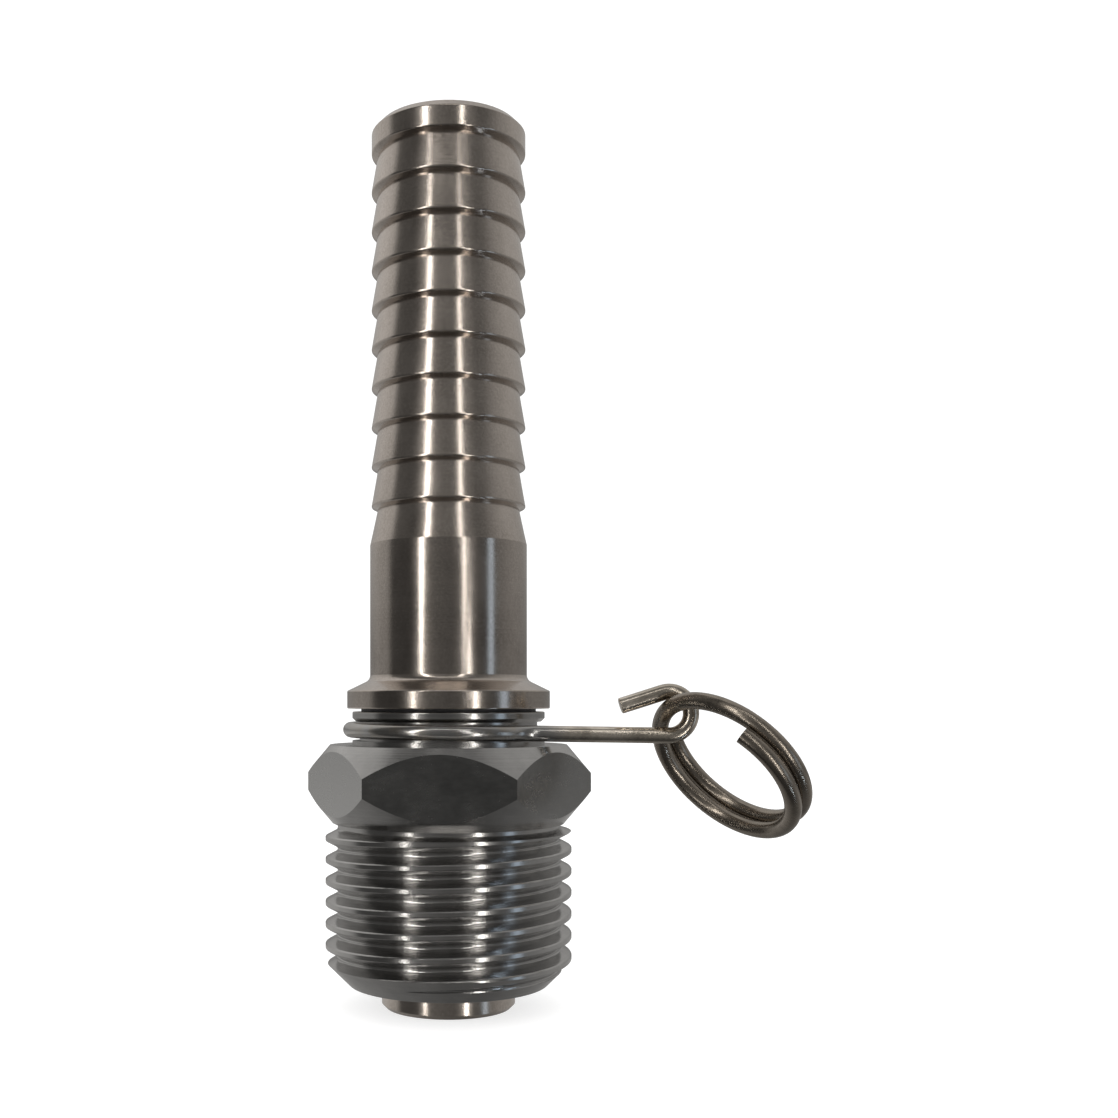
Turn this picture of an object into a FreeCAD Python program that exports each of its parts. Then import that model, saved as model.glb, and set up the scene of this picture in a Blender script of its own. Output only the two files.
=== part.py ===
"""Quick-release hose coupling, for 1/2 in hose and a 1/2-14 parallel pipe thread.

A barbed hose stem swivels in a hexagonal male adapter. A wire clip lies in a groove round the adapter's
neck, and the clip's flat back passes through a milled window into a groove in the stem, so it holds the
stem in. A wound wire ring hangs in the clip's eye.

The exported frame has +Z along the bore axis towards the hose end, +X along the clip's leg, and its
origin where the axis crosses the adapter's threaded end face. Dimensions are in millimetres, and heights
in the sheet are measured from the stem's lower end face.
"""

import FreeCAD
import Part

import math
import os
import types

import Sketcher

X_WAY = FreeCAD.Vector(1, 0, 0)
Y_WAY = FreeCAD.Vector(0, 1, 0)
Z_WAY = FreeCAD.Vector(0, 0, 1)

DOC = FreeCAD.newDocument("hose_coupling")
SHEET = DOC.addObject("Spreadsheet::Sheet", "Dimensions")

DIMENSIONS = {
    # hose stem, from its lower end upwards
    "flow_radius": 4.0,
    "spigot_radius": 5.69,
    "nose_chamfer": 0.35,
    "lock_groove_radius": 4.9,
    "flange_bottom": 25.35,
    "flange_rim_top": 26.85,
    "flange_radius": 8.64,
    "land_bottom": 27.8,
    "land_top": 39.25,
    "land_radius": 6.69,
    "land_fillet": 0.6,
    "barb_bottom": 42.25,
    "barb_root_radius": 6.04,
    "barb_tip_radius": 6.56,
    "barb_tip_land": 0.15,
    "barb_step": 0.2,
    "barb_pitch": 3.337,
    "barb_count": 10,
    "stem_top": 74.75,
    "top_chamfer": 0.6,
    "edge_round": 0.12,
    # adapter, from its lower end upwards
    "adapter_bottom": 2.05,
    "adapter_end_radius": 8.5,
    "thread_top": 15.3,
    "hex_bottom": 15.65,
    "hex_top": 22.3,
    "hex_flats": 21.0,
    "hex_turn": 4.0,
    "hex_top_radius": 10.1,
    "hex_bottom_radius": 9.85,
    "hex_chamfer_angle": 50.0,
    "bore_radius": 5.75,
    "neck_radius": 8.2,
    "neck_top": 25.1,
    "clip_groove_radius": 7.57,
    "clip_groove_width": 1.6,
    "groove_chamfer": 0.3,
    "clip_level": 23.45,
    "window_floor": 4.8,
    # parallel pipe thread, 14 turns to the inch, 55 degree form
    "thread_radius": 10.4775,
    "thread_pitch": 1.8143,
    "thread_round": 0.25,
    "thread_crest_half": 0.16,
    "thread_crest_slope": 25.0,
    "thread_start": 2.21,
    "thread_flank_angle": 27.5,
    # seals and bearings
    "gland_radius": 7.2,
    "gland_width": 3.0,
    "lower_gland": 5.0,
    "upper_gland": 10.4,
    "seal_inner_radius": 5.72,
    "seal_outer_radius": 7.14,
    "o_ring_width": 1.85,
    "o_ring_half_flat": 0.41,
    "o_ring_ease": 0.4,
    "backup_width": 0.85,
    "backup_gap": 0.1,
    "backup_slit": 0.12,
    "side_gap": 0.05,
    "guide_groove_radius": 6.56,
    "guide_outer_radius": 6.52,
    "guide_bottom": 16.2,
    "guide_width": 3.6,
    "guide_slit": 0.5,
    "washer_inner_radius": 5.85,
    "washer_outer_radius": 7.45,
    "washer_gap": 0.01,
    # wire clip
    "clip_wire": 1.32,
    "clip_ring_radius": 8.33,
    "clip_flat": 5.65,
    "clip_corner": 1.3,
    "clip_leave_angle": 38.5,
    "clip_bend": 3.5,
    "clip_lean": 0.8,
    "clip_end_angle": 36.0,
    "eye_reach": 17.89,
    "eye_radius": 1.78,
    "eye_turn": 198.5,
    "tail_length": 3.6,
    # pull ring
    "pull_wire": 1.36,
    "pull_radius": 6.49,
    "pull_pitch": 1.52,
    "pull_turns": 1.663,
    "pull_slope": 45.76,
    "pull_tilt": 64.31,
    "pull_end_angle": 107.4,
    "pull_out": 4.616,
    "pull_forward": 0.987,
    "pull_down": 4.023,
}


class Size:
    """A number that also knows the sheet expression it comes from."""

    def __init__(self, value, text=None):
        self.value = float(value)
        self.text = text or repr(self.value)

    def joined(self, sign, other, value):
        return Size(value, f"({self.text} {sign} {as_size(other).text})")

    def __add__(self, other):
        return self.joined("+", other, self.value + as_size(other).value)

    def __sub__(self, other):
        return self.joined("-", other, self.value - as_size(other).value)

    def __mul__(self, other):
        return self.joined("*", other, self.value * as_size(other).value)

    def __truediv__(self, other):
        return self.joined("/", other, self.value / as_size(other).value)

    def __neg__(self):
        return Size(-self.value, f"(0 - {self.text})")

    def __float__(self):
        return self.value


def as_size(number):
    return number if isinstance(number, Size) else Size(number)


def of_angle(function, degrees):
    """Sine, cosine or tangent of a Size in degrees."""
    value = getattr(math, function)(math.radians(degrees.value))
    return Size(value, f"{function}({degrees.text} * 1 deg)")


def fill_sheet():
    """Writes the driving dimensions and returns them as Sizes, by name."""
    for row, (alias, value) in enumerate(DIMENSIONS.items(), start=1):
        SHEET.set(f"A{row}", alias)
        SHEET.set(f"B{row}", str(value))
        SHEET.setAlias(f"B{row}", alias)
    DOC.recompute()
    return {alias: Size(getattr(SHEET, alias), f"Dimensions.{alias}") for alias in DIMENSIONS}


D = types.SimpleNamespace(**fill_sheet())


def plane(body, role):
    return next(f for f in body.Origin.OriginFeatures if f.Role == role)


def new_body(name):
    body = DOC.addObject("PartDesign::Body", name)
    body.Label = name
    return body


def new_sketch(body, name, role, level=None):
    sketch = body.newObject("Sketcher::SketchObject", name)
    sketch.AttachmentSupport = [(plane(body, role), "")]
    sketch.MapMode = "FlatFace"
    if level:
        sketch.setExpression("AttachmentOffset.Base.z", level.text)
    return sketch


def pin_point(sketch, line, across, along):
    """Holds a line's start at two sizes, measured from the sketch's origin."""
    for kind, distance, axis in (("DistanceX", across, -2), ("DistanceY", along, -1)):
        if abs(distance.value) < 1e-9:
            sketch.addConstraint(Sketcher.Constraint("PointOnObject", line, 1, axis))
            continue
        index = sketch.addConstraint(Sketcher.Constraint(kind, -1, 1, line, 1, distance.value))
        sketch.setExpression(f"Constraints[{index}]", distance.text)


def outline(body, name, corners, role="XZ_Plane", level=None):
    """A closed outline through corners, each a pair of sizes across and along the sketch."""
    sketch = new_sketch(body, name, role, level)
    corners = [(as_size(across), as_size(along)) for across, along in corners]
    points = [FreeCAD.Vector(across.value, along.value, 0) for across, along in corners]
    count = len(points)
    for i, start in enumerate(points):
        sketch.addGeometry(Part.LineSegment(start, points[(i + 1) % count]), False)
    for i in range(count):
        sketch.addConstraint(Sketcher.Constraint("Coincident", i, 2, (i + 1) % count, 1))
    for i, (across, along) in enumerate(corners):
        pin_point(sketch, i, across, along)
    return sketch


def turn(body, name, corners, kind="PartDesign::Revolution"):
    """Turns an outline about the bore axis, as solid, or as a cut when kind is a Groove."""
    sketch = outline(body, name + "Outline", corners)
    is_cut = kind.endswith("Groove")
    before = body.Shape.Volume if is_cut else 0.0
    feature = body.newObject(kind, name)
    feature.Profile = sketch
    feature.ReferenceAxis = (sketch, ["V_Axis"])
    feature.Angle = 360.0
    body.Tip = feature
    DOC.recompute()
    if is_cut and not body.Shape.Volume < before - 1e-3:
        raise RuntimeError(f"{name} cut nothing")
    return feature


def turn_away(body, name, corners):
    return turn(body, name, corners, "PartDesign::Groove")


def must_cut(body, before, least, name):
    DOC.recompute()
    if not body.Shape.Volume < before - least:
        raise RuntimeError(f"{name} cut too little")


def edges_at(shape, wanted):
    """Names of the round edges that lie at one of the wanted (radius, height) pairs."""
    names = []
    for i, edge in enumerate(shape.Edges, start=1):
        curve = edge.Curve
        if not isinstance(curve, Part.Circle):
            continue
        here = (curve.Radius, curve.Center.z)
        if any(math.dist(here, place) < 0.02 for place in wanted):
            names.append(f"Edge{i}")
    return names


def round_edges(body, name, wanted, radius):
    """Fillets the round edges at the wanted (radius, height) Sizes."""
    base = body.Tip
    names = edges_at(base.Shape, [(r.value, z.value) for r, z in wanted])
    if len(names) < len(wanted):
        raise RuntimeError(f"{name} found {len(names)} of {len(wanted)} edges")
    feature = body.newObject("PartDesign::Fillet", name)
    feature.Base = (base, names)
    feature.setExpression("Radius", radius.text)
    body.Tip = feature
    DOC.recompute()


# ---- hose stem ---------------------------------------------------------------------------------

CLIP_SLOT_LOW = D.clip_level - D.clip_groove_width / 2
CLIP_SLOT_HIGH = D.clip_level + D.clip_groove_width / 2
OVERSHOOT = 0.01  # how far a cut passes the faces that it must clear


def barb_cuts(body):
    """The V between two barbs, a short step over a long slope, repeated up the stem."""
    outside = D.barb_tip_radius + 1
    slope_foot = D.barb_bottom + D.barb_step + D.barb_tip_land
    root = D.barb_bottom + D.barb_pitch
    cut = turn_away(
        body,
        "BarbCut",
        [
            (D.barb_root_radius, root),
            (D.barb_tip_radius, root + D.barb_step),
            (outside, root + D.barb_step),
            (outside, slope_foot),
            (D.barb_tip_radius, slope_foot),
        ],
    )
    pattern = body.newObject("PartDesign::LinearPattern", "Barbs")
    pattern.Originals = [cut]
    pattern.Direction = (cut.Profile[0], ["V_Axis"])
    pattern.setExpression("Length", (D.barb_pitch * (D.barb_count - 2)).text)
    pattern.setExpression("Occurrences", (D.barb_count - 1).text)
    body.Tip = pattern
    DOC.recompute()


def hose_stem():
    body = new_body("hose_stem")
    turn(
        body,
        "Blank",
        [
            (D.flow_radius, 0),
            (D.spigot_radius - D.nose_chamfer, 0),
            (D.spigot_radius, D.nose_chamfer),
            (D.spigot_radius, D.flange_bottom),
            (D.flange_radius, D.flange_bottom),
            (D.flange_radius, D.flange_rim_top),
            (D.land_radius, D.land_bottom),
            (D.land_radius, D.land_top),
            (D.barb_root_radius, D.barb_bottom),
            (D.barb_tip_radius, D.barb_bottom + D.barb_step),
            (D.barb_tip_radius, D.stem_top - D.top_chamfer),
            (D.barb_tip_radius - D.top_chamfer, D.stem_top),
            (D.flow_radius + D.top_chamfer, D.stem_top),
            (D.flow_radius, D.stem_top - D.top_chamfer),
        ],
    )
    barb_cuts(body)
    outside = D.spigot_radius + 0.1
    turn_away(
        body,
        "LockGroove",
        [
            (D.lock_groove_radius, CLIP_SLOT_LOW),
            (outside, CLIP_SLOT_LOW),
            (outside, CLIP_SLOT_HIGH),
            (D.lock_groove_radius, CLIP_SLOT_HIGH),
        ],
    )
    tips = [D.barb_bottom + D.barb_step + D.barb_pitch * k for k in range(int(D.barb_count.value))]
    turned = [(D.barb_tip_radius, tip) for tip in tips]
    turned += [
        (D.flange_radius, D.flange_bottom),
        (D.flange_radius, D.flange_rim_top),
        (D.barb_tip_radius, D.stem_top - D.top_chamfer),
    ]
    round_edges(body, "TurnedEdges", turned, D.edge_round)
    round_edges(body, "LandFillet", [(D.land_radius, D.land_bottom)], D.land_fillet)
    return body


# ---- hexagonal adapter -------------------------------------------------------------------------


def hexagon(body):
    """The wrench hexagon and its two chamfers, which are turned as cuts."""
    sketch = new_sketch(body, "HexOutline", "XY_Plane", D.hex_bottom)
    corner = D.hex_flats / Size(math.sqrt(3), "sqrt(3)")
    around = [Size(60 * k) - D.hex_turn for k in range(6)]
    corners = [(corner * of_angle("cos", a), corner * of_angle("sin", a)) for a in around]
    points = [FreeCAD.Vector(x.value, y.value, 0) for x, y in corners]
    for i in range(6):
        sketch.addGeometry(Part.LineSegment(points[i], points[(i + 1) % 6]), False)
    for i in range(6):
        sketch.addConstraint(Sketcher.Constraint("Coincident", i, 2, (i + 1) % 6, 1))
    for i, (x, y) in enumerate(corners):
        pin_point(sketch, i, x, y)
    pad = body.newObject("PartDesign::Pad", "Hexagon")
    pad.Profile = sketch
    pad.setExpression("Length", (D.hex_top - D.hex_bottom).text)
    body.Tip = pad
    DOC.recompute()
    reach = D.hex_flats
    slope = of_angle("tan", D.hex_chamfer_angle)
    turn_away(
        body,
        "HexTopChamfer",
        [
            (D.hex_top_radius, D.hex_top),
            (reach, D.hex_top),
            (reach, D.hex_top - (reach - D.hex_top_radius) * slope),
        ],
    )
    turn_away(
        body,
        "HexBottomChamfer",
        [
            (D.hex_bottom_radius, D.hex_bottom),
            (reach, D.hex_bottom),
            (reach, D.hex_bottom + (reach - D.hex_bottom_radius) * slope),
        ],
    )


def bore(body):
    """The socket for the stem, with two seal glands and the guide ring's groove."""
    below = D.adapter_bottom - 1
    above = D.neck_top + 1
    corners = [(0, below), (D.bore_radius, below)]
    grooves = [
        (D.lower_gland, D.gland_width, D.gland_radius),
        (D.upper_gland, D.gland_width, D.gland_radius),
        (D.guide_bottom, D.guide_width, D.guide_groove_radius),
    ]
    for bottom, width, radius in grooves:
        corners += [(D.bore_radius, bottom), (radius, bottom)]
        corners += [(radius, bottom + width), (D.bore_radius, bottom + width)]
    corners += [(D.bore_radius, above), (0, above)]
    turn_away(body, "Bore", corners)


def clip_window(body):
    """A flat slot milled through the back of the clip groove, for the clip's straight back."""
    outside = D.neck_radius + 1
    slot = outline(
        body,
        "WindowOutline",
        [
            (-outside, D.window_floor),
            (outside, D.window_floor),
            (outside, outside),
            (-outside, outside),
        ],
        "XY_Plane",
        CLIP_SLOT_HIGH,
    )
    before = body.Shape.Volume
    window = body.newObject("PartDesign::Pocket", "ClipWindow")
    window.Profile = slot
    window.setExpression("Length", D.clip_groove_width.text)
    body.Tip = window
    must_cut(body, before, 5, "ClipWindow")


def thread_shape():
    """How deep the thread is, and its crest circle's distance in from the crest and along it.

    Each flank touches the root's circle and the crest's circle, and this fixes the depth.
    """
    size, flank, edge = D.thread_round, D.thread_flank_angle, D.thread_crest_slope
    inward = size * of_angle("cos", edge)
    along = D.thread_pitch / 2 - D.thread_crest_half + size * of_angle("sin", edge)
    depth = size + inward + (along * of_angle("cos", flank) - size * 2) / of_angle("sin", flank)
    return depth, inward, along


def thread_form(body):
    """The outline between two crests: a round root, straight flanks and rounded crest edges."""
    depth, inward, along = thread_shape()
    middle = D.adapter_bottom - D.thread_start
    half = D.thread_pitch / 2 - D.thread_crest_half
    outside = D.thread_radius + 0.4
    size, quarter = D.thread_round.value, math.pi / 2
    flank, edge = math.radians(D.thread_flank_angle.value), math.radians(D.thread_crest_slope.value)

    def point(across, up):
        return FreeCAD.Vector(across.value, up.value, 0)

    def arc(centre, start, end):
        return Part.ArcOfCircle(Part.Circle(centre, Z_WAY, size), start, end)

    root = arc(point(D.thread_radius - depth + D.thread_round, middle), quarter + flank, 3 * quarter - flank)
    low = arc(point(D.thread_radius - inward, middle - along), edge, quarter - flank)
    high = arc(point(D.thread_radius - inward, middle + along), flank - quarter, -edge)
    low_crest, high_crest = point(D.thread_radius, middle - half), point(D.thread_radius, middle + half)
    low_corner, high_corner = point(outside, middle - half), point(outside, middle + half)
    sketch = new_sketch(body, "ThreadForm", "XZ_Plane")
    for shape in (
        root,
        Part.LineSegment(root.EndPoint, low.EndPoint),
        low,
        Part.LineSegment(low_crest, low_corner),
        Part.LineSegment(low_corner, high_corner),
        Part.LineSegment(high_corner, high_crest),
        high,
        Part.LineSegment(high.StartPoint, root.StartPoint),
    ):
        sketch.addGeometry(shape, False)
    for kind, *ends in (
        ("Tangent", 0, 2, 1, 1),
        ("Tangent", 1, 2, 2, 2),
        ("Coincident", 2, 1, 3, 1),
        ("Coincident", 3, 2, 4, 1),
        ("Coincident", 4, 2, 5, 1),
        ("Coincident", 5, 2, 6, 2),
        ("Tangent", 6, 1, 7, 1),
        ("Tangent", 7, 2, 0, 1),
    ):
        sketch.addConstraint(Sketcher.Constraint(kind, *ends))
    for kind, line, place, size in (
        ("DistanceX", 0, 3, D.thread_radius - depth + D.thread_round),
        ("DistanceY", 0, 3, middle),
        ("DistanceY", 2, 3, middle - along),
        ("DistanceY", 6, 3, middle + along),
        ("DistanceX", 3, 1, D.thread_radius),
        ("DistanceY", 3, 1, middle - half),
        ("DistanceX", 4, 1, outside),
        ("DistanceY", 4, 1, middle - half),
        ("DistanceX", 5, 1, outside),
        ("DistanceY", 5, 1, middle + half),
        ("DistanceX", 6, 2, D.thread_radius),
        ("DistanceY", 6, 2, middle + half),
    ):
        index = sketch.addConstraint(Sketcher.Constraint(kind, -1, 1, line, place, size.value))
        sketch.setExpression(f"Constraints[{index}]", size.text)
    for curve in (0, 2, 6):
        index = sketch.addConstraint(Sketcher.Constraint("Radius", curve, D.thread_round.value))
        sketch.setExpression(f"Constraints[{index}]", D.thread_round.text)
    return sketch


def thread(body):
    """One right-hand helical cut of the 55 degree form.

    It starts below the end face, so that the first turn is whole, and runs out under the hexagon.
    """
    sketch = thread_form(body)
    before = body.Shape.Volume
    cut = body.newObject("PartDesign::SubtractiveHelix", "Thread")
    cut.Profile = sketch
    cut.ReferenceAxis = (sketch, ["V_Axis"])
    cut.Mode = 0
    cut.setExpression("Pitch", D.thread_pitch.text)
    cut.setExpression("Height", (D.thread_top - D.adapter_bottom + D.thread_start + D.thread_pitch * 0.15).text)
    cut.Refine = False
    body.Tip = cut
    must_cut(body, before, 100, "Thread")


def hex_body():
    body = new_body("hex_body")
    root = D.thread_radius - thread_shape()[0]
    turn(
        body,
        "Blank",
        [
            (0, D.adapter_bottom),
            (D.adapter_end_radius, D.adapter_bottom),
            (D.thread_radius, D.adapter_bottom + D.thread_radius - D.adapter_end_radius),
            (D.thread_radius, D.thread_top - D.groove_chamfer),
            (root, D.thread_top),
            (root, D.hex_bottom),
            (D.hex_bottom_radius, D.hex_bottom),
            (D.hex_bottom_radius, D.hex_top),
            (D.neck_radius, D.hex_top),
            (D.neck_radius, CLIP_SLOT_LOW),
            (D.clip_groove_radius, CLIP_SLOT_LOW),
            (D.clip_groove_radius, CLIP_SLOT_HIGH),
            (D.neck_radius - D.groove_chamfer, CLIP_SLOT_HIGH),
            (D.neck_radius, CLIP_SLOT_HIGH + D.groove_chamfer),
            (D.neck_radius, D.neck_top),
            (0, D.neck_top),
        ],
    )
    hexagon(body)
    bore(body)
    clip_window(body)
    turned = [(D.neck_radius, D.neck_top), (D.adapter_end_radius, D.adapter_bottom)]
    round_edges(body, "TurnedEdges", turned, D.edge_round)
    thread(body)
    return body


# ---- seals and bearings ------------------------------------------------------------------------


def o_ring(name, gland):
    """An O-ring as it sits squeezed in its gland: flat where it touches, eased at both sides."""
    body = new_body(name)
    low = gland + D.side_gap
    high = low + D.o_ring_width
    middle = low + D.o_ring_width / 2
    flat, ease = D.o_ring_half_flat, D.o_ring_ease
    turn(
        body,
        "Ring",
        [
            (D.seal_inner_radius, middle - flat),
            (D.seal_inner_radius + ease, low),
            (D.seal_outer_radius - ease, low),
            (D.seal_outer_radius, middle - flat),
            (D.seal_outer_radius, middle + flat),
            (D.seal_outer_radius - ease, high),
            (D.seal_inner_radius + ease, high),
            (D.seal_inner_radius, middle + flat),
        ],
    )
    return body


def split_ring(name, low, width, outer, gap):
    """A flat ring with one slit at 60 degrees, so that it can be sprung into its groove."""
    body = new_body(name)
    high = low + width
    inner = D.seal_inner_radius
    turn(body, "Ring", [(inner, low), (outer, low), (outer, high), (inner, high)])
    lean = width / math.sqrt(3) / 2
    slit = outline(
        body,
        "SlitOutline",
        [
            (-lean - gap / 2, low - OVERSHOOT),
            (gap / 2 - lean, low - OVERSHOOT),
            (lean + gap / 2, high + OVERSHOOT),
            (lean - gap / 2, high + OVERSHOOT),
        ],
    )
    before = body.Shape.Volume
    cut = body.newObject("PartDesign::Pocket", "Slit")
    cut.Profile = slit
    cut.Reversed = True
    cut.setExpression("Length", D.gland_radius.text)
    body.Tip = cut
    must_cut(body, before, 0.1, name)
    return body


def backup_ring(name, gland):
    low = gland + D.side_gap + D.o_ring_width + D.backup_gap
    return split_ring(name, low, D.backup_width, D.seal_outer_radius, D.backup_slit)


def guide_ring():
    low = D.guide_bottom + D.side_gap
    width = D.guide_width - D.side_gap * 2
    return split_ring("guide_ring", low, width, D.guide_outer_radius, D.guide_slit)


def thrust_washer():
    body = new_body("thrust_washer")
    low = D.neck_top + D.washer_gap
    high = D.flange_bottom - D.washer_gap
    inner, outer = D.washer_inner_radius, D.washer_outer_radius
    turn(body, "Washer", [(inner, low), (outer, low), (outer, high), (inner, high)])
    return body


# ---- wire clip and pull ring -------------------------------------------------------------------


def around(centre, radius, degrees, across, along):
    """The point at an angle about centre, in the plane of two directions."""
    angle = math.radians(degrees)
    return centre + across * (radius * math.cos(angle)) + along * (radius * math.sin(angle))


def flat_arc(centre, radius, start, end, along=Y_WAY):
    """An arc between two angles about centre, lying level, or upright when along is Z_WAY."""
    points = [around(centre, radius, a, X_WAY, along) for a in (start, (start + end) / 2, end)]
    return Part.Arc(*points).toShape()


def straight(start, end):
    return Part.LineSegment(start, end).toShape()


def clip_path():
    """The clip's centre line, level at height 0: hidden end, back, ring, leg, eye and tail.

    Returns it with the centre of the eye.
    """
    ring, corner, bend = D.clip_ring_radius.value, D.clip_corner.value, D.clip_bend.value
    back, eye = D.clip_flat.value, D.eye_radius.value
    axis = FreeCAD.Vector(0, 0, 0)
    inset = back - corner
    half = math.sqrt((ring - corner) ** 2 - inset**2)
    tangent = math.degrees(math.atan2(inset, half))
    right = FreeCAD.Vector(half, inset, 0)
    left = FreeCAD.Vector(-half, inset, 0)
    leave = 270 + D.clip_leave_angle.value
    bend_centre = around(axis, ring + bend, leave, X_WAY, Y_WAY)
    leg_start = bend_centre + Y_WAY * bend
    leg_end = FreeCAD.Vector(D.eye_reach.value, leg_start.y, 0)
    eye_centre = leg_end + Z_WAY * eye
    eye_stop = D.eye_turn.value - 90
    tail_start = around(eye_centre, eye, eye_stop, X_WAY, Z_WAY)
    tail_end = tail_start + around(axis, D.tail_length.value, eye_stop + 90, X_WAY, Z_WAY)
    edges = [
        flat_arc(axis, ring, D.clip_end_angle.value, tangent),
        flat_arc(right, corner, tangent, 90),
        straight(right + Y_WAY * corner, left + Y_WAY * corner),
        flat_arc(left, corner, 90, 180 - tangent),
        flat_arc(axis, ring, 180 - tangent, leave),
        flat_arc(bend_centre, bend, leave - 180, 90),
        straight(leg_start, leg_end),
        flat_arc(eye_centre, eye, -90, eye_stop, Z_WAY),
        straight(tail_start, tail_end),
    ]
    return Part.Wire(edges), eye_centre


def clip_place():
    """The clip leans a little in its groove, its eye side down."""
    lean = FreeCAD.Rotation(Y_WAY, D.clip_lean.value)
    return FreeCAD.Placement(FreeCAD.Vector(0, 0, D.clip_level.value), lean)


def end_rims(wire):
    """The two round edges that bound the flat ends of a swept wire."""
    flats = [face for face in wire.Faces if isinstance(face.Surface, Part.Plane)]
    return [edge for face in flats for edge in face.Edges]


def retaining_clip():
    path, _ = clip_path()
    first = path.Edges[0]
    start, heading = first.valueAt(first.FirstParameter), first.tangentAt(first.FirstParameter)
    section = Part.Wire([Part.makeCircle(D.clip_wire.value / 2, start, heading)])
    wire = path.makePipeShell([section], True, False)
    expected = math.pi / 4 * D.clip_wire.value**2 * path.Length
    if abs(wire.Volume / expected - 1) > 0.01:
        raise RuntimeError("the clip's wire has the wrong volume")
    wire = wire.makeFillet(D.edge_round.value, end_rims(wire))
    clip = DOC.addObject("Part::Feature", "retaining_clip")
    clip.Label = "retaining_clip"
    clip.Shape = wire
    clip.Placement = clip_place()
    return clip


def pull_ring_place():
    """The ring hangs in the eye, leans to the front, and its turns face down and to the left."""
    _, eye_centre = clip_path()
    slope, tilt = math.radians(D.pull_slope.value), math.radians(D.pull_tilt.value)
    outward = X_WAY * math.cos(slope) - Z_WAY * math.sin(slope)
    upward = X_WAY * math.sin(slope) + Z_WAY * math.cos(slope)
    face = -upward * math.sin(tilt) - Y_WAY * math.cos(tilt)
    inward = face.cross(outward)
    end = D.pull_end_angle.value - 360 * D.pull_turns.value
    first = around(FreeCAD.Vector(), 1, end, outward, inward)
    centre = clip_place().multVec(eye_centre)
    centre += FreeCAD.Vector(D.pull_out.value, -D.pull_forward.value, -D.pull_down.value)
    centre -= face * (D.pull_pitch.value * D.pull_turns.value / 2)
    turned = FreeCAD.Rotation(first, face.cross(first), face, "ZXY")
    return FreeCAD.Placement(centre, turned)


def wire_section():
    """The pull ring's round section at the start of its helix, drawn as two half circles."""
    sketch = DOC.addObject("Sketcher::SketchObject", "PullRingSection")
    middle = FreeCAD.Vector(D.pull_radius.value, 0, 0)
    circle = Part.Circle(middle, Z_WAY, D.pull_wire.value / 2)
    sketch.addGeometry(Part.ArcOfCircle(circle, 0, math.pi), False)
    sketch.addGeometry(Part.ArcOfCircle(circle, math.pi, 2 * math.pi), False)
    sketch.addConstraint(Sketcher.Constraint("Coincident", 0, 2, 1, 1))
    sketch.addConstraint(Sketcher.Constraint("Coincident", 1, 2, 0, 1))
    sketch.addConstraint(Sketcher.Constraint("Coincident", 0, 3, 1, 3))
    for point in (1, 2, 3):
        sketch.addConstraint(Sketcher.Constraint("PointOnObject", 0, point, -1))
    across = sketch.addConstraint(Sketcher.Constraint("DistanceX", -1, 1, 0, 3, middle.x))
    sketch.setExpression(f"Constraints[{across}]", D.pull_radius.text)
    round_size = sketch.addConstraint(Sketcher.Constraint("Radius", 0, circle.Radius))
    sketch.setExpression(f"Constraints[{round_size}]", (D.pull_wire / 2).text)
    sketch.Placement.Rotation = FreeCAD.Rotation(X_WAY, 90)
    return sketch


def pull_ring():
    """A loosely wound ring of wire, right-handed, with both ends cut square."""
    helix = DOC.addObject("Part::Helix", "PullRingPath")
    helix.setExpression("Radius", D.pull_radius.text)
    helix.setExpression("Pitch", D.pull_pitch.text)
    helix.setExpression("Height", (D.pull_pitch * D.pull_turns).text)
    section = wire_section()
    sweep = DOC.addObject("Part::Sweep", "pull_ring")
    sweep.Label = "pull_ring"
    sweep.Sections = [section]
    sweep.Spine = (helix, ["Edge1"])
    sweep.Solid = True
    sweep.Frenet = True
    DOC.recompute()
    length = D.pull_turns.value * math.hypot(2 * math.pi * D.pull_radius.value, D.pull_pitch.value)
    expected = math.pi / 4 * D.pull_wire.value**2 * length
    if abs(sweep.Shape.Volume / expected - 1) > 0.02:
        raise RuntimeError("the pull ring's wire has the wrong volume")
    sweep.Placement = pull_ring_place()
    return sweep


# ---- building and writing ----------------------------------------------------------------------


def build():
    """Builds every piece on the stem's datum, then moves them all down to the adapter's."""
    pieces = [
        hose_stem(),
        hex_body(),
        o_ring("o_ring_lower", D.lower_gland),
        o_ring("o_ring_upper", D.upper_gland),
        backup_ring("backup_ring_lower", D.lower_gland),
        backup_ring("backup_ring_upper", D.upper_gland),
        guide_ring(),
        thrust_washer(),
        retaining_clip(),
        pull_ring(),
    ]
    down = FreeCAD.Placement(-Z_WAY * D.adapter_bottom.value, FreeCAD.Rotation())
    for piece in pieces:
        piece.Placement = down * piece.Placement
    DOC.recompute()
    return pieces


def check(pieces):
    for item in DOC.Objects:
        if "Invalid" in item.State or "Error" in item.State:
            raise RuntimeError(f"{item.Name} is {item.State}")
    for piece in pieces:
        shape = piece.Shape
        if shape.isNull() or not shape.isValid() or len(shape.Solids) != 1:
            raise RuntimeError(f"{piece.Label} isn't one valid solid")
        box = shape.BoundBox
        print(f"{piece.Label:20s} {shape.Volume:9.2f} mm3  {box}")


def write(pieces):
    os.makedirs("parts", exist_ok=True)
    for piece in pieces:
        piece.Shape.exportStep(os.path.join("parts", piece.Label + ".step"))


PIECES = build()
check(PIECES)
write(PIECES)
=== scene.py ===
"""Visual model of the quick-release hose coupling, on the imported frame. Metres, +Z up the bore."""

import math

import bpy
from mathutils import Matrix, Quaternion, Vector


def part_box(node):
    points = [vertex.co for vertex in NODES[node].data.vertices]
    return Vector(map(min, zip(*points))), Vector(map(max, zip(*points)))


MM = 0.001

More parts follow.
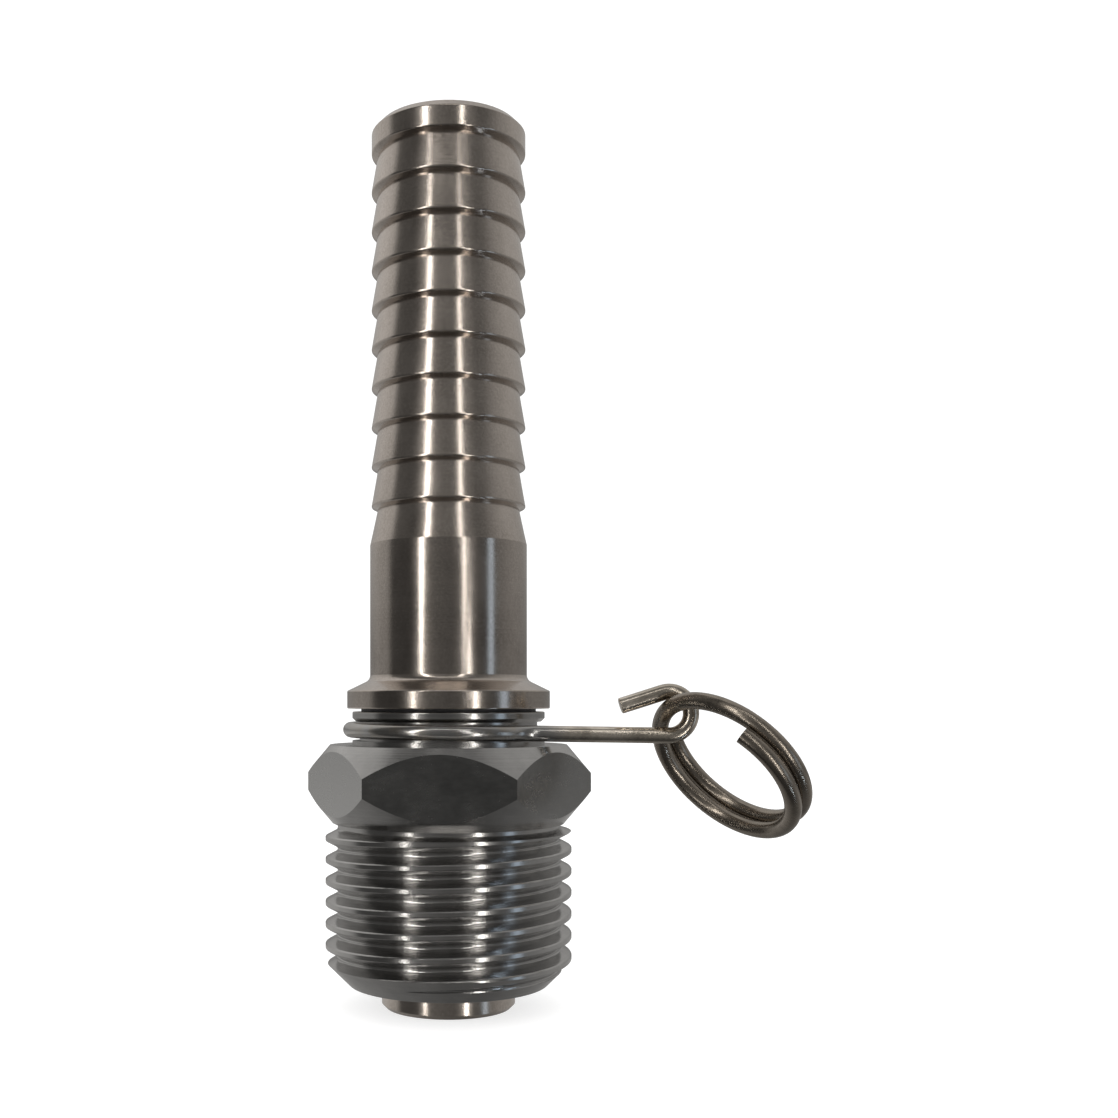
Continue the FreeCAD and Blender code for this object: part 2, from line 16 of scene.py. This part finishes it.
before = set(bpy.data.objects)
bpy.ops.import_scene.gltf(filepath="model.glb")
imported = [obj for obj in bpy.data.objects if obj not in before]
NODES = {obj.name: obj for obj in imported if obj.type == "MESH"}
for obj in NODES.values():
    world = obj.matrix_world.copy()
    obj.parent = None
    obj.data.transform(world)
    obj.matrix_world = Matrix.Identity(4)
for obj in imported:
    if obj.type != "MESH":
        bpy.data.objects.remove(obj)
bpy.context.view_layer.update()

# ---- colours -----------------------------------------------------------------------------------

STEM_DARK = (0.48, 0.428, 0.384)
STEM_PALE = (0.62, 0.56, 0.51)
STEM_GRAIN = (0.72, 0.65, 0.595)

TURNED_DARK = (0.42, 0.415, 0.41)
TURNED_PALE = (0.58, 0.572, 0.562)
# the milled flats' dark, mottled base is painted shade; the bright one is painted light on the flats that
# face -X and +X
MILLED_DARK = (0.2, 0.2, 0.197)
MILLED_PALE = (0.3, 0.299, 0.294)
MILLED_PAINTED_LIGHT = (0.7, 0.698, 0.69)

# the clip's colours along its one wire are partly painted: the leg has a warmer tint and painted light,
# and the eye is painted darker than the leg
CLIP_RING = (0.46, 0.456, 0.45)
CLIP_LEG_PAINTED_LIGHT = (0.95, 0.87, 0.765)
CLIP_EYE = (0.66, 0.595, 0.51)
PULL_RING = (0.38, 0.335, 0.285)

BLACK_PTFE = (0.03, 0.03, 0.032)
BROWN_PTFE = (0.30, 0.17, 0.09)
WHITE_PTFE = (0.78, 0.78, 0.75)
RUBBER = (0.025, 0.025, 0.027)

FLOOR_DARK = (0.5, 0.5, 0.5)
FLOOR_PALE = (0.53, 0.53, 0.53)
WHITE = (1.0, 1.0, 1.0, 1.0)
WARM = (1.0, 0.97, 0.92)
SKY = (0.66, 0.82, 1.0)


# ---- node graph helpers ------------------------------------------------------------------------


class Tree:
    """A short way to add and link shader nodes."""

    def __init__(self, owner):
        owner.use_nodes = True
        self.tree = owner.node_tree
        self.tree.nodes.clear()

    def add(self, kind, **settings):
        node = self.tree.nodes.new(kind)
        for key, value in settings.items():
            setattr(node, key, value)
        return node

    def link(self, source, target):
        self.tree.links.new(source, target)

    def put(self, socket, value):
        """Links a socket, or sets its number."""
        if isinstance(value, bpy.types.NodeSocket):
            self.link(value, socket)
        else:
            socket.default_value = value

    def math(self, operation, a, b=0.0, clamp=False):
        node = self.add("ShaderNodeMath", operation=operation, use_clamp=clamp)
        self.put(node.inputs[0], a)
        self.put(node.inputs[1], b)
        return node.outputs[0]

    def weigh(self, a, share_a, b, share_b):
        """The sum of two values, each times its own share."""
        return self.math("ADD", self.math("MULTIPLY", a, share_a), self.math("MULTIPLY", b, share_b))

    def remap(self, value, low, high, to_low=0.0, to_high=1.0, smooth=False):
        """Maps the range low to high onto to_low to to_high, and holds the level beyond either end."""
        node = self.add("ShaderNodeMapRange")
        node.interpolation_type = "SMOOTHSTEP" if smooth else "LINEAR"
        node.clamp = True
        self.put(node.inputs["Value"], value)
        for label, number in (
            ("From Min", low),
            ("From Max", high),
            ("To Min", to_low),
            ("To Max", to_high),
        ):
            node.inputs[label].default_value = number
        return node.outputs["Result"]

    def ramp(self, value, low, high, stops):
        """A level for each value between low and high, straight between (value, level) stops."""
        node = self.add("ShaderNodeValToRGB")
        elements = node.color_ramp.elements
        elements.remove(elements[1])
        for i, (at, level) in enumerate(stops):
            place = (at - low) / (high - low)
            element = elements[0] if i == 0 else elements.new(place)
            element.position = place
            element.color = (level, level, level, 1.0)
        self.link(self.remap(value, low, high), node.inputs[0])
        return node.outputs["Color"]


class Graph(Tree):
    """One material's nodes, around a Principled shader."""

    def __init__(self, name):
        self.material = bpy.data.materials.new(name)
        super().__init__(self.material)
        self.shader = self.add("ShaderNodeBsdfPrincipled")
        output = self.add("ShaderNodeOutputMaterial")
        self.link(self.shader.outputs["BSDF"], output.inputs["Surface"])
        self.coords = self.add("ShaderNodeTexCoord").outputs["Object"]

    def noise(self, scale, detail=3.0, rough=0.55, distortion=0.0):
        """Noise with its own scale along each axis, per metre."""
        mapping = self.add("ShaderNodeMapping")
        self.link(self.coords, mapping.inputs["Vector"])
        mapping.inputs["Scale"].default_value = scale
        node = self.add("ShaderNodeTexNoise")
        self.link(mapping.outputs["Vector"], node.inputs["Vector"])
        node.inputs["Scale"].default_value = 1.0
        node.inputs["Detail"].default_value = detail
        node.inputs["Roughness"].default_value = rough
        node.inputs["Distortion"].default_value = distortion
        return node.outputs["Fac"]

    def mix(self, factor, a, b):
        """Mixes two colours."""
        node = self.add("ShaderNodeMix", data_type="RGBA")
        self.put(node.inputs["Factor"], factor)
        for socket, colour in ((node.inputs["A"], a), (node.inputs["B"], b)):
            self.put(socket, colour if isinstance(colour, bpy.types.NodeSocket) else (*colour, 1.0))
        return node.outputs["Result"]

    def blend(self, factor, a, b):
        """Mixes two numbers."""
        node = self.add("ShaderNodeMix", data_type="FLOAT")
        self.put(node.inputs["Factor"], factor)
        self.put(node.inputs["A"], a)
        self.put(node.inputs["B"], b)
        return node.outputs["Result"]

    def bump(self, height, strength, depth):
        """A normal from a height, which stands depth metres proud where it is 1."""
        node = self.add("ShaderNodeBump")
        node.inputs["Strength"].default_value = strength
        node.inputs["Distance"].default_value = depth
        self.link(height, node.inputs["Height"])
        return node.outputs["Normal"]

    def split(self, vector=None):
        """The X, Y and Z of a vector, or of the point itself."""
        node = self.add("ShaderNodeSeparateXYZ")
        self.link(vector or self.coords, node.inputs[0])
        return node.outputs

    def radius(self):
        """The distance from the bore's axis."""
        x, y, _ = self.split()
        return self.math("SQRT", self.weigh(x, x, y, y))

    def band(self, value, low, high, edge):
        """1 between low and high, with soft edges."""
        return self.math(
            "MULTIPLY",
            self.remap(value, low - edge, low + edge),
            self.remap(value, high - edge, high + edge, 1.0, 0.0),
        )


# ---- steel -------------------------------------------------------------------------------------

TOOL_MARKS = 9000.0  # per metre along Z
GRAIN = (4800.0,) * 3  # per metre
MARK_DEPTH = 0.012 * MM
QUARTER_TURN = 0.25


def turning_marks(g):
    """Fine rings along Z that vary slowly round the axis, as a cutting tool leaves them."""
    rings = g.noise((60.0, 60.0, TOOL_MARKS), detail=4.0, rough=0.65)
    coarse = g.noise((30.0, 30.0, TOOL_MARKS / 5), detail=2.0)
    return g.weigh(rings, 0.65, coarse, 0.35)


def around_z(g, amount):
    """Stretches highlights along Z, across the turning marks."""
    tangent = g.add("ShaderNodeTangent", direction_type="RADIAL", axis="Z")
    g.link(tangent.outputs[0], g.shader.inputs["Tangent"])
    g.shader.inputs["Anisotropic"].default_value = amount
    g.shader.inputs["Anisotropic Rotation"].default_value = QUARTER_TURN


def steel(name):
    """A bare metal, still without its colour, roughness and bump."""
    g = Graph(name)
    g.shader.inputs["Metallic"].default_value = 1.0
    return g


def stem_steel():
    """Warm turned stainless, satin, with a fine grain over its turning marks."""
    g = steel("stem_steel")
    marks = turning_marks(g)
    cloud = g.noise((420.0, 420.0, 260.0), detail=5.0, rough=0.65)
    grain = g.noise(GRAIN, detail=3.0, rough=0.75)
    tone = g.weigh(marks, 0.3, cloud, 0.7)
    base = g.mix(g.remap(tone, 0.32, 0.68), STEM_DARK, STEM_PALE)
    base = g.mix(g.remap(grain, 0.4, 0.7, 0.0, 0.55), base, STEM_GRAIN)
    g.link(base, g.shader.inputs["Base Color"])
    g.link(g.remap(tone, 0.3, 0.7, 0.15, 0.23), g.shader.inputs["Roughness"])
    height = g.weigh(marks, 0.5, grain, 0.5)
    g.link(g.bump(height, 0.5, MARK_DEPTH), g.shader.inputs["Normal"])
    around_z(g, 0.3)
    return g.material


# where the hexagon starts and ends, and a radius just inside its flats
HEX_LOW = 13.6 * MM
HEX_HIGH = 20.25 * MM
HEX_FACE = 10.35 * MM


def milled_flats(g):
    """1 on the hexagon's six flats, which stand further out than the turned faces beside them."""
    z = g.split()[2]
    normal = g.add("ShaderNodeNewGeometry").outputs["True Normal"]
    upright = g.remap(g.math("ABSOLUTE", g.split(normal)[2]), 0.05, 0.3, 1.0, 0.0)
    outside = g.remap(g.radius(), HEX_FACE - 0.05 * MM, HEX_FACE + 0.05 * MM)
    level = g.band(z, HEX_LOW, HEX_HIGH, 0.01 * MM)
    return g.math("MULTIPLY", g.math("MULTIPLY", upright, level), outside)


def painted_light_sides(g):
    """Painted light: the flats that face -X are painted the palest, and those that face +X a little pale.
    """
    normal = g.add("ShaderNodeNewGeometry").outputs["True Normal"]
    x = g.split(normal)[0]
    return g.math("ADD", g.remap(x, -0.3, -0.85, 0.0, 0.7), g.remap(x, 0.3, 0.85, 0.0, 0.22))


def adapter_steel():
    """Turned steel, with milled flats on the hexagon that are duller and mottled, their darker colour
    painted shade and their -X and +X sides painted light.
    """
    g = steel("adapter_steel")
    flat = milled_flats(g)
    marks = turning_marks(g)
    cloud = g.noise((420.0, 420.0, 420.0), detail=5.0, rough=0.6)
    milled = g.noise((900.0, 900.0, 2600.0), detail=4.0, rough=0.7, distortion=0.6)
    grain = g.noise(GRAIN, detail=3.0, rough=0.75)
    turned_tone = g.weigh(marks, 0.4, cloud, 0.6)
    flat_tone = g.weigh(milled, 0.4, cloud, 0.6)
    turned_colour = g.mix(g.remap(turned_tone, 0.3, 0.7), TURNED_DARK, TURNED_PALE)
    painted_flat_colour = g.mix(g.remap(flat_tone, 0.3, 0.7), MILLED_DARK, MILLED_PALE)
    # painted light on the flats that face -X and +X
    painted_flat_colour = g.mix(painted_light_sides(g), painted_flat_colour, MILLED_PAINTED_LIGHT)
    g.link(g.mix(flat, turned_colour, painted_flat_colour), g.shader.inputs["Base Color"])
    turned_rough = g.remap(turned_tone, 0.3, 0.7, 0.16, 0.24)
    flat_rough = g.remap(flat_tone, 0.3, 0.7, 0.22, 0.3)
    g.link(g.blend(flat, turned_rough, flat_rough), g.shader.inputs["Roughness"])
    height = g.weigh(g.blend(flat, marks, milled), 1.0, grain, 0.5)
    g.link(g.bump(height, 0.45, MARK_DEPTH), g.shader.inputs["Normal"])
    around_z(g, 0.25)
    return g.material


# where along X the clip's ring gives way to its leg, and its leg to its eye
LEG_STARTS = (7.5 * MM, 10.5 * MM)
EYE_STARTS = (14.0 * MM, 17.0 * MM)
WIRE_GRAIN_DEPTH = 0.008 * MM


def wire_steel(name, colours, rough):
    """Drawn spring wire, with colours one after another along X for its ring, its leg and its eye; on the
    clip these give the leg a warmer tint and painted light, and paint the eye darker than the leg.
    """
    g = steel(name)
    cloud = g.noise((700.0, 700.0, 700.0), detail=4.0, rough=0.6)
    grain = g.noise((5000.0, 5000.0, 5000.0), detail=3.0, rough=0.6)
    x = g.split()[0]
    ring, leg, eye = colours
    base = g.mix(g.remap(x, *LEG_STARTS, smooth=True), ring, leg)
    base = g.mix(g.remap(x, *EYE_STARTS, smooth=True), base, eye)
    base = g.mix(g.remap(cloud, 0.45, 0.8), base, tuple(0.7 * c for c in eye))
    g.link(base, g.shader.inputs["Base Color"])
    g.link(g.remap(grain, 0.3, 0.7, rough, rough + 0.08), g.shader.inputs["Roughness"])
    g.link(g.bump(grain, 0.1, WIRE_GRAIN_DEPTH), g.shader.inputs["Normal"])
    return g.material


# ---- polymers, and which piece wears what ------------------------------------------------------

POLYMER_GRAIN = 2500.0  # per metre
POLYMER_DEPTH = 0.01 * MM


def polymer(name, colour, rough):
    """A dull plastic or rubber with a fine, slightly uneven grain."""
    g = Graph(name)
    cloud = g.noise((POLYMER_GRAIN / 5,) * 3, detail=4.0)
    grain = g.noise((POLYMER_GRAIN,) * 3, detail=3.0)
    dark = tuple(0.75 * c for c in colour)
    g.link(g.mix(g.remap(cloud, 0.3, 0.7), dark, colour), g.shader.inputs["Base Color"])
    g.link(g.remap(grain, 0.3, 0.7, rough, rough + 0.15), g.shader.inputs["Roughness"])
    g.link(g.bump(grain, 0.3, POLYMER_DEPTH), g.shader.inputs["Normal"])
    return g.material


def dress(node, material):
    for slot in NODES[node].material_slots:
        slot.material = material


def dress_all():
    dress("hose_stem", stem_steel())
    dress("hex_body", adapter_steel())
    dress("retaining_clip", wire_steel("clip_wire", (CLIP_RING, CLIP_LEG_PAINTED_LIGHT, CLIP_EYE), 0.17))
    dress("pull_ring", wire_steel("pull_ring_wire", (PULL_RING,) * 3, 0.23))
    dress("thrust_washer", polymer("black_ptfe", BLACK_PTFE, 0.4))
    dress("guide_ring", polymer("brown_ptfe", BROWN_PTFE, 0.4))
    rubber = polymer("nitrile_rubber", RUBBER, 0.45)
    ptfe = polymer("white_ptfe", WHITE_PTFE, 0.4)
    for end in ("lower", "upper"):
        dress(f"o_ring_{end}", rubber)
        dress(f"backup_ring_{end}", ptfe)


# ---- studio ------------------------------------------------------------------------------------

AXIS_DISTANCE = 115.4 * MM
EYE_HEIGHT = 24.03 * MM
SENSOR = 36.0
FOCAL_LENGTH = 43.47
SHIFT = (0.0988, 0.1261)

LIGHT_DISTANCE = 0.45
# how high the middles of the upper and the lower strips are, and how long they are
UPPER = {"height": 0.236, "length": 0.38}
LOWER = {"height": -0.128, "length": 0.335}


def make_camera():
    """A level camera in front of the bore's axis, shifted to take in the barbs and the pull ring."""
    data = bpy.data.cameras.new("camera")
    data.sensor_width = SENSOR
    data.lens = FOCAL_LENGTH
    data.shift_x, data.shift_y = SHIFT
    data.clip_start = 0.005
    data.clip_end = 20.0
    camera = bpy.data.objects.new("camera", data)
    bpy.context.scene.collection.objects.link(camera)
    camera.location = (0.0, -AXIS_DISTANCE, EYE_HEIGHT)
    camera.rotation_euler = (math.radians(90), 0.0, 0.0)
    bpy.context.scene.camera = camera


def strip_light(name, azimuth, lean, width, power, colour, height, length):
    """An upright softbox at an azimuth from the front, leaning sideways by some degrees."""
    data = bpy.data.lights.new(name, "AREA")
    data.shape = "RECTANGLE"
    data.size = width
    data.size_y = length
    data.energy = power
    data.color = colour
    light = bpy.data.objects.new(name, data)
    bpy.context.scene.collection.objects.link(light)
    a = math.radians(azimuth)
    outward = Vector((math.sin(a), -math.cos(a), 0.0))
    light.location = outward * LIGHT_DISTANCE + Vector((0.0, 0.0, height))
    light.rotation_mode = "QUATERNION"
    lean_turn = Quaternion((0.0, 0.0, 1.0), math.radians(lean))
    light.rotation_quaternion = (-outward).to_track_quat("-Z", "Y") @ lean_turn
    light.visible_camera = False


# the room's brightness by azimuth from the front, in degrees
ROOM_AROUND = [
    (-180, 0.45),
    (-130, 0.62),
    (-100, 0.5),
    (-90, 0.1),
    (-55, 0.07),
    (-42, 0.2),
    (-15, 0.17),
    (0, 0.14),
    (12, 0.13),
    (30, 0.2),
    (45, 0.12),
    (60, 0.15),
    (80, 0.3),
    (110, 0.42),
    (140, 0.44),
    (180, 0.45),
]
# the share of it that stays, from straight down at -1 to straight up at 1
ROOM_UPWARD = [
    (-1.0, 0.1),
    (-0.5, 0.22),
    (-0.2, 0.36),
    (-0.06, 0.24),
    (0.03, 0.16),
    (0.12, 0.3),
    (0.3, 0.36),
    (0.45, 0.42),
    (0.8, 0.42),
    (1.0, 0.5),
]
ROOM_STRENGTH = 2.5
ROOM_TINT = (1.0, 0.985, 0.96, 1.0)
PAPER_WHITE = 1.12
DEGREES_PER_RADIAN = 180 / math.pi


def make_world():
    """A dim room for reflections, and white paper for the camera and the floor."""
    world = bpy.data.worlds.new("studio")
    bpy.context.scene.world = world
    g = Tree(world)
    direction = g.add("ShaderNodeSeparateXYZ")
    g.link(g.add("ShaderNodeTexCoord").outputs["Generated"], direction.inputs[0])
    x, y, z = direction.outputs
    turn = g.math("ARCTAN2", x, g.math("MULTIPLY", y, -1.0))
    azimuth = g.math("MULTIPLY", turn, DEGREES_PER_RADIAN)
    around = g.ramp(azimuth, -180, 180, ROOM_AROUND)
    upward = g.ramp(z, -1.0, 1.0, ROOM_UPWARD)
    room = g.add("ShaderNodeBackground")
    room.inputs["Color"].default_value = ROOM_TINT
    level = g.math("MULTIPLY", around, upward)
    g.link(g.math("MULTIPLY", level, ROOM_STRENGTH), room.inputs["Strength"])
    paper = g.add("ShaderNodeBackground")
    paper.inputs["Color"].default_value = WHITE
    paper.inputs["Strength"].default_value = PAPER_WHITE
    path = g.add("ShaderNodeLightPath")
    mix = g.add("ShaderNodeMixShader")
    sees_paper = g.math("MAXIMUM", path.outputs["Is Camera Ray"], path.outputs["Is Diffuse Ray"])
    g.link(sees_paper, mix.inputs[0])
    g.link(room.outputs[0], mix.inputs[1])
    g.link(paper.outputs[0], mix.inputs[2])
    g.link(mix.outputs[0], g.add("ShaderNodeOutputWorld").inputs["Surface"])


FLOOR_REACH = 3.0
FLOOR_GLOW = 0.7


def make_floor():
    """A pale floor under the nose, which glows a little so that it stays white in the dim room."""
    mesh = bpy.data.meshes.new("floor")
    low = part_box("hose_stem")[0].z
    corners = [(x * FLOOR_REACH, y * FLOOR_REACH, low) for x, y in ((-1, -1), (1, -1), (1, 1), (-1, 1))]
    mesh.from_pydata(corners, [], [(0, 1, 2, 3)])
    floor = bpy.data.objects.new("floor", mesh)
    bpy.context.scene.collection.objects.link(floor)
    g = Graph("pale_floor")
    grain = g.noise((40.0, 40.0, 40.0), detail=3.0)
    g.link(g.mix(grain, FLOOR_DARK, FLOOR_PALE), g.shader.inputs["Base Color"])
    g.shader.inputs["Roughness"].default_value = 0.9
    g.shader.inputs["Emission Color"].default_value = WHITE
    g.shader.inputs["Emission Strength"].default_value = FLOOR_GLOW
    mesh.materials.append(g.material)
    floor.visible_glossy = False
    floor.visible_shadow = False


def make_lights():
    """Two pairs of narrow strips, a wide one overhead and two bluish lights at the right."""
    strip_light("left_upper", azimuth=-35, lean=-12, width=0.026, power=0.32, colour=WARM, **UPPER)
    strip_light("right_upper", azimuth=20, lean=7, width=0.022, power=0.15, colour=WARM, **UPPER)
    strip_light("left_lower", azimuth=-40, lean=-2, width=0.013, power=0.12, colour=WARM, **LOWER)
    strip_light("right_lower", azimuth=30.5, lean=2, width=0.022, power=0.24, colour=WARM, **LOWER)
    strip_light("overhead", azimuth=4, lean=0, width=0.5, power=0.3, colour=WARM, height=0.62, length=0.1)
    strip_light("sky", azimuth=64, lean=4, width=0.07, power=0.045, colour=SKY, height=-0.01, length=0.28)
    strip_light("window", azimuth=62, lean=0, width=0.03, power=0.1, colour=SKY, height=-0.42, length=0.1)


dress_all()
make_camera()
make_world()
make_floor()
make_lights()
bpy.context.scene.view_settings.view_transform = "Standard"
